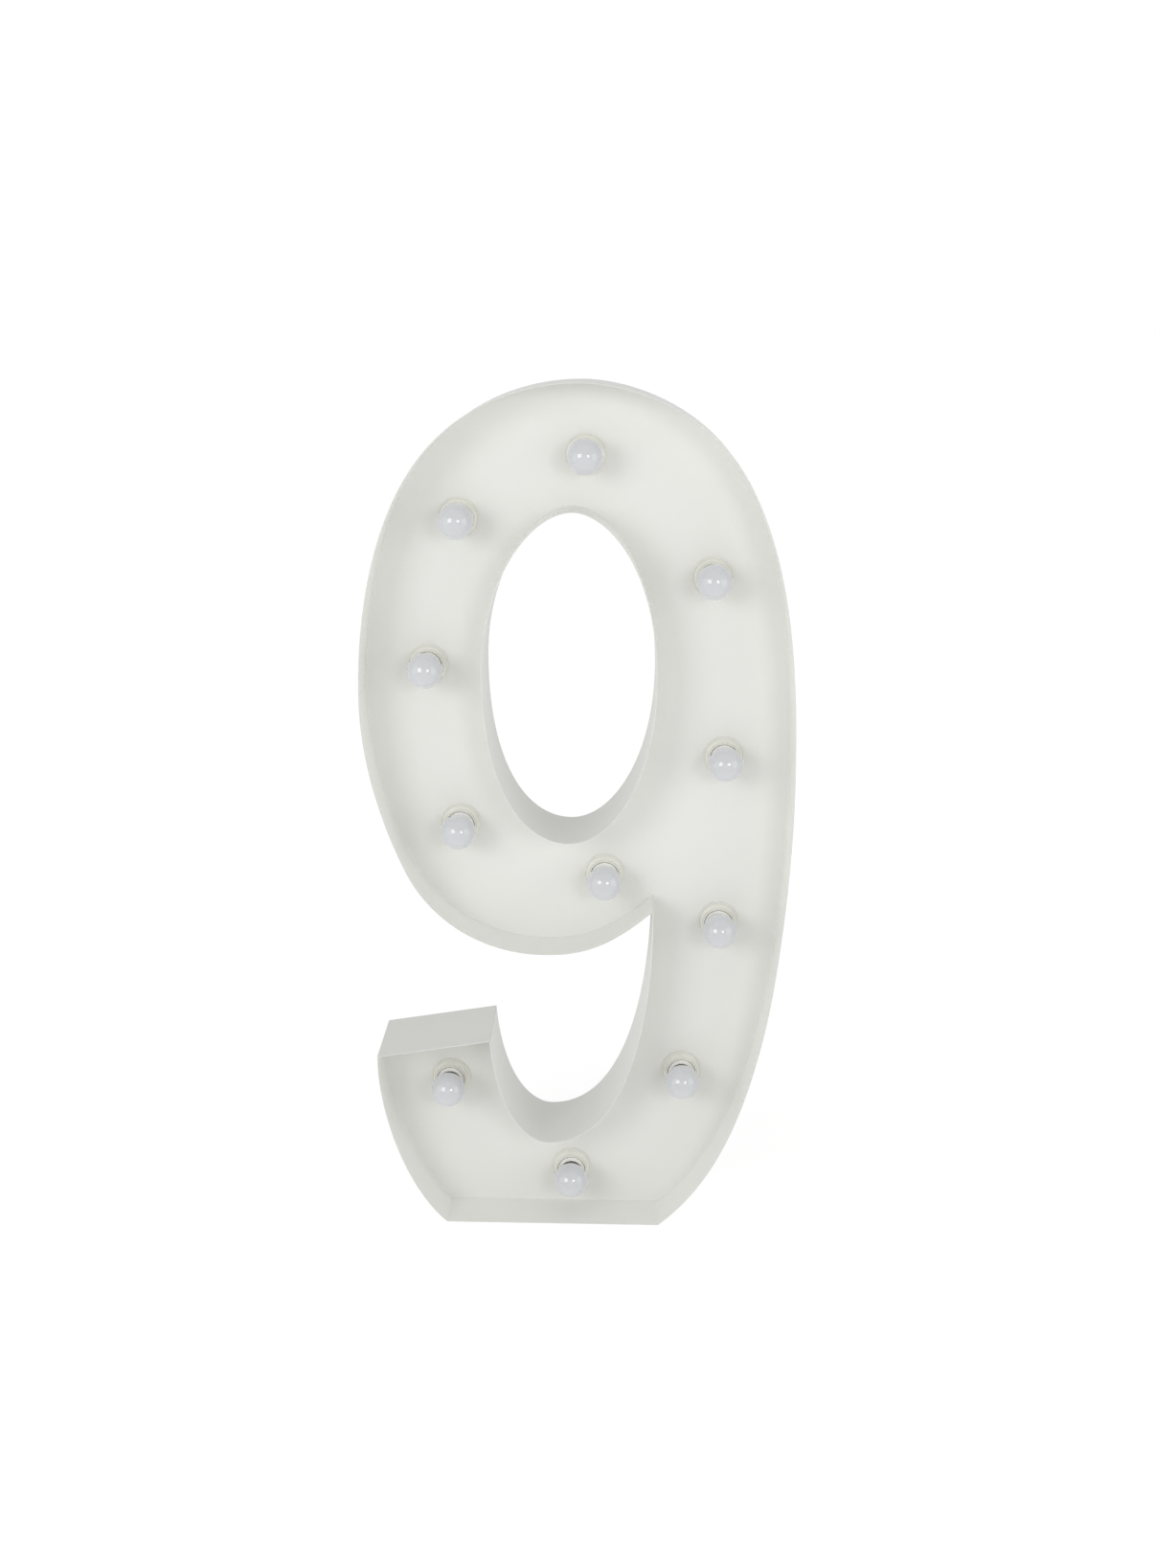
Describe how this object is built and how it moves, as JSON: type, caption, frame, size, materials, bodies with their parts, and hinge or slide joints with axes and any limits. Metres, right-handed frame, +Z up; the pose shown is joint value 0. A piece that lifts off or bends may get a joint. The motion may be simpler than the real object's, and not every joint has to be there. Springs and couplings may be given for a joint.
{
  "type": "light up marquee number",
  "caption": "Free-standing sheet metal number nine, a deep open-fronted tray with a recessed panel of screw-in opal globe lamps and a screwed rear cover.",
  "frame": {"origin": "centre of the number's width and depth, on the floor under its foot", "axes": "+Z up, -Y out of the open front with its lamps, +X to the right as seen from the front"},
  "size_m": [0.6, 0.148, 1.2],
  "materials": {
    "white_powder_coat": "satin white powder coat on sheet steel",
    "ivory_plastic": "semi-matt ivory thermoplastic",
    "white_plastic": "smooth white, with a nickel-plated screw cap below the neck",
    "opal_globe": "glossy opal shell, unlit",
    "zinc_steel": "zinc-plated",
    "black_rubber": "matt",
    "black_cable": "satin cable sheath",
    "grey_plastic": "light grey moulding"
  },
  "bodies": {
    "casing": {"wall_right_and_crown": "white_powder_coat", "wall_bowl": "white_powder_coat", "wall_hook": "white_powder_coat", "wall_tail_end": "white_powder_coat", "wall_tail": "white_powder_coat", "wall_counter": "white_powder_coat", "foot_plate": "white_powder_coat", "lamp_panel": "white_powder_coat", "rear_cover": "white_powder_coat", "cover_screw_crown": "zinc_steel", "cover_screw_right": "zinc_steel", "cover_screw_bowl": "zinc_steel", "cover_screw_foot": "zinc_steel", "cable_grommet": "black_rubber", "junction_box": "grey_plastic", "lamp_wiring": "black_cable", "lampholder_tail": "ivory_plastic", "shade_ring_tail": "ivory_plastic", "lampholder_foot": "ivory_plastic", "shade_ring_foot": "ivory_plastic", "lampholder_leg": "ivory_plastic", "shade_ring_leg": "ivory_plastic", "lampholder_lower_right": "ivory_plastic", "shade_ring_lower_right": "ivory_plastic", "lampholder_right": "ivory_plastic", "shade_ring_right": "ivory_plastic", "lampholder_upper_right": "ivory_plastic", "shade_ring_upper_right": "ivory_plastic", "lampholder_top": "ivory_plastic", "shade_ring_top": "ivory_plastic", "lampholder_upper_left": "ivory_plastic", "shade_ring_upper_left": "ivory_plastic", "lampholder_left": "ivory_plastic", "shade_ring_left": "ivory_plastic", "lampholder_lower_left": "ivory_plastic", "shade_ring_lower_left": "ivory_plastic", "lampholder_bowl_end": "ivory_plastic", "shade_ring_bowl_end": "ivory_plastic"},
    "base_tail": {"bulb_base_tail": "white_plastic"},
    "globe_tail": {"bulb_globe_tail": "opal_globe"},
    "base_foot": {"bulb_base_foot": "white_plastic"},
    "globe_foot": {"bulb_globe_foot": "opal_globe"},
    "base_leg": {"bulb_base_leg": "white_plastic"},
    "globe_leg": {"bulb_globe_leg": "opal_globe"},
    "base_lower_right": {"bulb_base_lower_right": "white_plastic"},
    "globe_lower_right": {"bulb_globe_lower_right": "opal_globe"},
    "base_right": {"bulb_base_right": "white_plastic"},
    "globe_right": {"bulb_globe_right": "opal_globe"},
    "base_upper_right": {"bulb_base_upper_right": "white_plastic"},
    "globe_upper_right": {"bulb_globe_upper_right": "opal_globe"},
    "base_top": {"bulb_base_top": "white_plastic"},
    "globe_top": {"bulb_globe_top": "opal_globe"},
    "base_upper_left": {"bulb_base_upper_left": "white_plastic"},
    "globe_upper_left": {"bulb_globe_upper_left": "opal_globe"},
    "base_left": {"bulb_base_left": "white_plastic"},
    "globe_left": {"bulb_globe_left": "opal_globe"},
    "base_lower_left": {"bulb_base_lower_left": "white_plastic"},
    "globe_lower_left": {"bulb_globe_lower_left": "opal_globe"},
    "base_bowl_end": {"bulb_base_bowl_end": "white_plastic"},
    "globe_bowl_end": {"bulb_globe_bowl_end": "opal_globe"}
  },
  "joints": [
    {"name": "bulb_draw_tail", "type": "slide", "parent": "casing", "child": "base_tail", "axis": [0, -1, 0], "range_m": [0, 0.0182]},
    {"name": "bulb_turn_tail", "type": "hinge", "parent": "base_tail", "child": "globe_tail", "pos_m": [-0.183, 0.004, 0.1938], "axis": [0, -1, 0], "range_deg": [0, 1800]},
    {"name": "bulb_draw_foot", "type": "slide", "parent": "casing", "child": "base_foot", "axis": [0, -1, 0], "range_m": [0, 0.0182]},
    {"name": "bulb_turn_foot", "type": "hinge", "parent": "base_foot", "child": "globe_foot", "pos_m": [-0.0048, 0.004, 0.0552], "axis": [0, -1, 0], "range_deg": [0, 1800]},
    {"name": "bulb_draw_leg", "type": "slide", "parent": "casing", "child": "base_leg", "axis": [0, -1, 0], "range_m": [0, 0.0182]},
    {"name": "bulb_turn_leg", "type": "hinge", "parent": "base_leg", "child": "globe_leg", "pos_m": [0.1548, 0.004, 0.2112], "axis": [0, -1, 0], "range_deg": [0, 1800]},
    {"name": "bulb_draw_lower_right", "type": "slide", "parent": "casing", "child": "base_lower_right", "axis": [0, -1, 0], "range_m": [0, 0.0182]},
    {"name": "bulb_turn_lower_right", "type": "hinge", "parent": "base_lower_right", "child": "globe_lower_right", "pos_m": [0.2031, 0.004, 0.4398], "axis": [0, -1, 0], "range_deg": [0, 1800]},
    {"name": "bulb_draw_right", "type": "slide", "parent": "casing", "child": "base_right", "axis": [0, -1, 0], "range_m": [0, 0.0182]},
    {"name": "bulb_turn_right", "type": "hinge", "parent": "base_right", "child": "globe_right", "pos_m": [0.2049, 0.004, 0.6822], "axis": [0, -1, 0], "range_deg": [0, 1800]},
    {"name": "bulb_draw_upper_right", "type": "slide", "parent": "casing", "child": "base_upper_right", "axis": [0, -1, 0], "range_m": [0, 0.0182]},
    {"name": "bulb_turn_upper_right", "type": "hinge", "parent": "base_upper_right", "child": "globe_upper_right", "pos_m": [0.1833, 0.004, 0.9354], "axis": [0, -1, 0], "range_deg": [0, 1800]},
    {"name": "bulb_draw_top", "type": "slide", "parent": "casing", "child": "base_top", "axis": [0, -1, 0], "range_m": [0, 0.0182]},
    {"name": "bulb_turn_top", "type": "hinge", "parent": "base_top", "child": "globe_top", "pos_m": [0.006, 0.004, 1.1016], "axis": [0, -1, 0], "range_deg": [0, 1800]},
    {"name": "bulb_draw_upper_left", "type": "slide", "parent": "casing", "child": "base_upper_left", "axis": [0, -1, 0], "range_m": [0, 0.0182]},
    {"name": "bulb_turn_upper_left", "type": "hinge", "parent": "base_upper_left", "child": "globe_upper_left", "pos_m": [-0.1683, 0.004, 1.0134], "axis": [0, -1, 0], "range_deg": [0, 1800]},
    {"name": "bulb_draw_left", "type": "slide", "parent": "casing", "child": "base_left", "axis": [0, -1, 0], "range_m": [0, 0.0182]},
    {"name": "bulb_turn_left", "type": "hinge", "parent": "base_left", "child": "globe_left", "pos_m": [-0.2112, 0.004, 0.8088], "axis": [0, -1, 0], "range_deg": [0, 1800]},
    {"name": "bulb_draw_lower_left", "type": "slide", "parent": "casing", "child": "base_lower_left", "axis": [0, -1, 0], "range_m": [0, 0.0182]},
    {"name": "bulb_turn_lower_left", "type": "hinge", "parent": "base_lower_left", "child": "globe_lower_left", "pos_m": [-0.1665, 0.004, 0.5802], "axis": [0, -1, 0], "range_deg": [0, 1800]},
    {"name": "bulb_draw_bowl_end", "type": "slide", "parent": "casing", "child": "base_bowl_end", "axis": [0, -1, 0], "range_m": [0, 0.0182]},
    {"name": "bulb_turn_bowl_end", "type": "hinge", "parent": "base_bowl_end", "child": "globe_bowl_end", "pos_m": [0.039, 0.004, 0.5088], "axis": [0, -1, 0], "range_deg": [0, 1800]}
  ],
  "couplings": [
    {"joint": "bulb_draw_tail", "follows": "bulb_turn_tail", "m_per_rad": 0.00057614},
    {"joint": "bulb_draw_foot", "follows": "bulb_turn_foot", "m_per_rad": 0.00057614},
    {"joint": "bulb_draw_leg", "follows": "bulb_turn_leg", "m_per_rad": 0.00057614},
    {"joint": "bulb_draw_lower_right", "follows": "bulb_turn_lower_right", "m_per_rad": 0.00057614},
    {"joint": "bulb_draw_right", "follows": "bulb_turn_right", "m_per_rad": 0.00057614},
    {"joint": "bulb_draw_upper_right", "follows": "bulb_turn_upper_right", "m_per_rad": 0.00057614},
    {"joint": "bulb_draw_top", "follows": "bulb_turn_top", "m_per_rad": 0.00057614},
    {"joint": "bulb_draw_upper_left", "follows": "bulb_turn_upper_left", "m_per_rad": 0.00057614},
    {"joint": "bulb_draw_left", "follows": "bulb_turn_left", "m_per_rad": 0.00057614},
    {"joint": "bulb_draw_lower_left", "follows": "bulb_turn_lower_left", "m_per_rad": 0.00057614},
    {"joint": "bulb_draw_bowl_end", "follows": "bulb_turn_bowl_end", "m_per_rad": 0.00057614}
  ]
}
